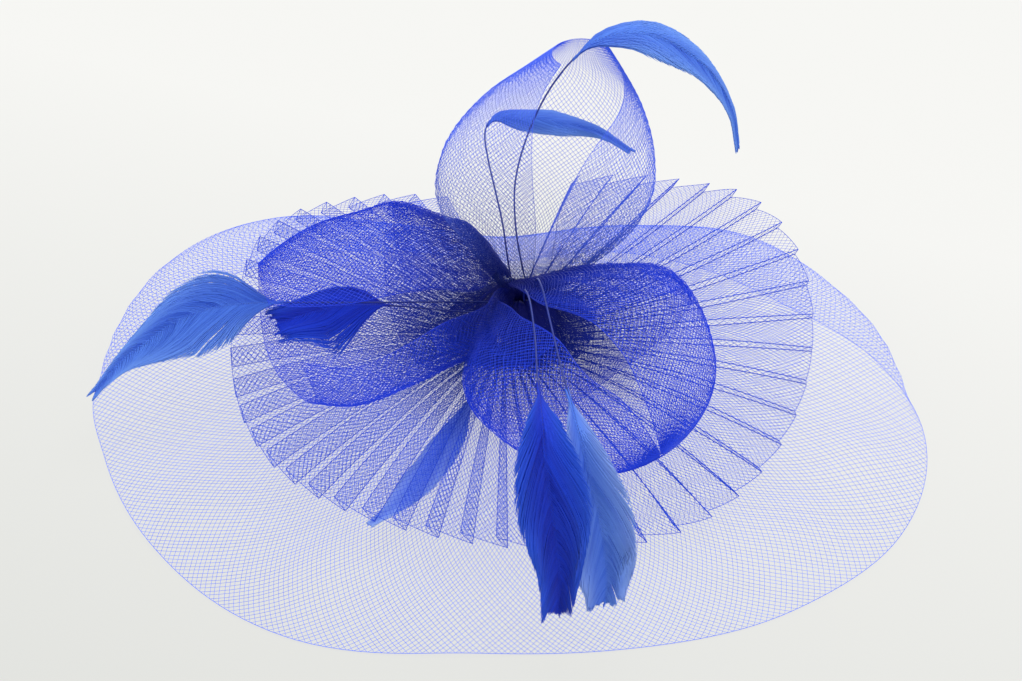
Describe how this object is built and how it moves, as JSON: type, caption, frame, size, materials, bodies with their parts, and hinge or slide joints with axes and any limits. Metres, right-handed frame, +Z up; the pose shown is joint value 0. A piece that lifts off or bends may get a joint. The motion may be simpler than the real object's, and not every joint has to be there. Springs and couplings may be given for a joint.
{
  "type": "disc fascinator",
  "caption": "Blue net fascinator: a wide crinoline veil, a knife-pleated disc, rolled loops gathered in the middle, curled feathers on bare stems and a hair comb underneath.",
  "frame": {"origin": "middle of the whole piece's base, on the surface it lies on", "axes": "+Z up, +X to the wearer's side that the tall feather curls towards, -Y towards the front"},
  "size_m": [0.3426, 0.2666, 0.139],
  "materials": {
    "veil_net": "open net, sheer",
    "disc_net": "open net, pleated",
    "loop_net": "open net, in layers",
    "gather_net": "net, tightly gathered",
    "feather_blue": "feather, soft sheen",
    "comb_plastic": "satin"
  },
  "bodies": {
    "root": {"veil": "veil_net", "pleated_disc": "disc_net", "gathered_centre": "gather_net", "loop_left": "loop_net", "loop_right": "loop_net", "loop_top": "loop_net", "feather_top_outer": "feather_blue", "feather_top_inner": "feather_blue", "feather_left_outer": "feather_blue", "feather_left_inner": "feather_blue", "feather_front_main": "feather_blue", "feather_front_back": "feather_blue", "feather_under": "feather_blue", "hair_comb": "comb_plastic"}
  },
  "joints": []
}
